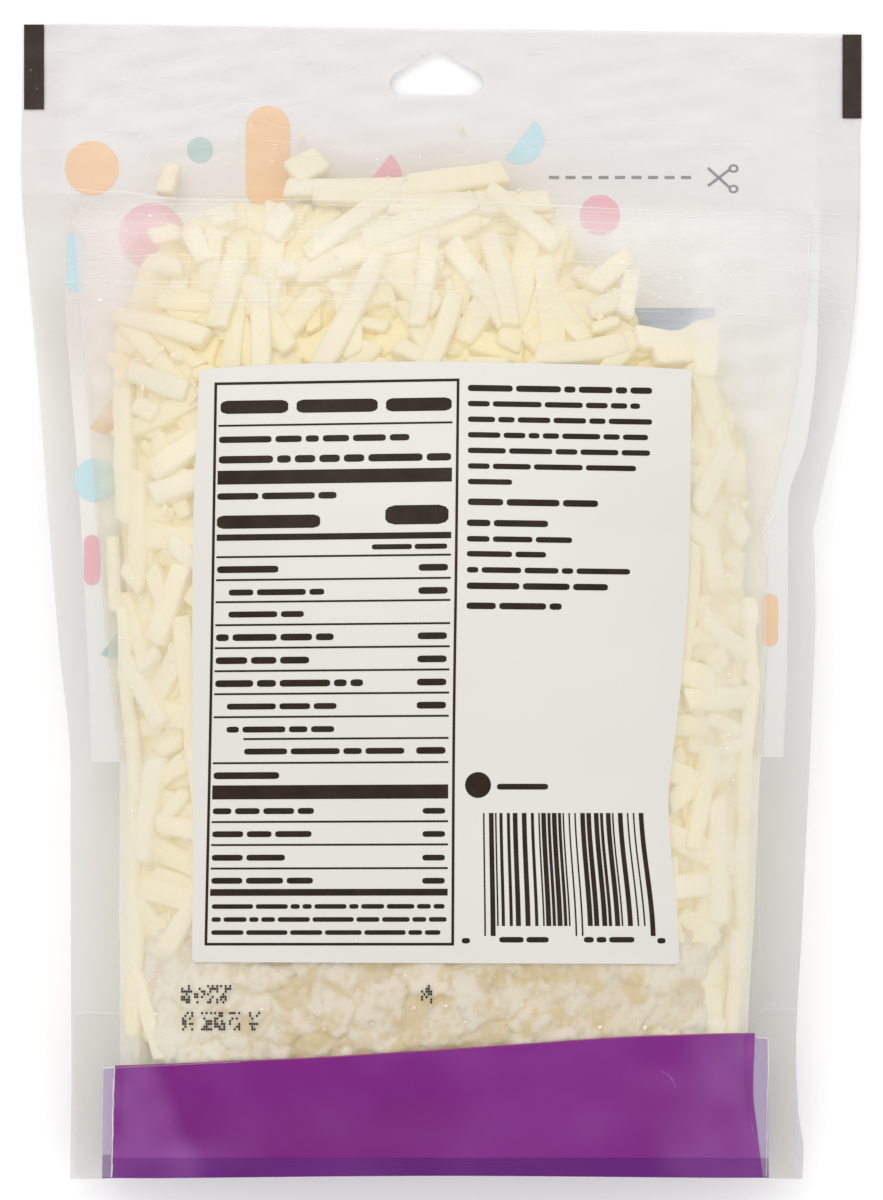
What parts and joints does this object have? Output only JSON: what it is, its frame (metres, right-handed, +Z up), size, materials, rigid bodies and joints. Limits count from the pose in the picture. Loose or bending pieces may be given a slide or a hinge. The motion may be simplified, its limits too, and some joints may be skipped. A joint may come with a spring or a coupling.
{
  "type": "bag of grated cheese",
  "caption": "Clear resealable pouch of grated white cheese lying on its front, with a white back label, a zip closure and a hang hole.",
  "frame": {"origin": "Centre of the bounding box in X and Y, at its lowest point in Z, which is the surface that the pouch lies on", "axes": "X across the pouch, Y along it from the gusset end (-Y) to the zip and hang hole (+Y), Z up out of the label side"},
  "size_m": [0.1578, 0.216, 0.04],
  "materials": {
    "film": "clear glossy film over white cheese, with a white label and a purple band printed on it",
    "cheese": null,
    "print": "semi-matte printed ink areas on the film: white label, dark rules, purple band"
  },
  "bodies": {
    "root": {"pouch": "film"}
  },
  "joints": []
}
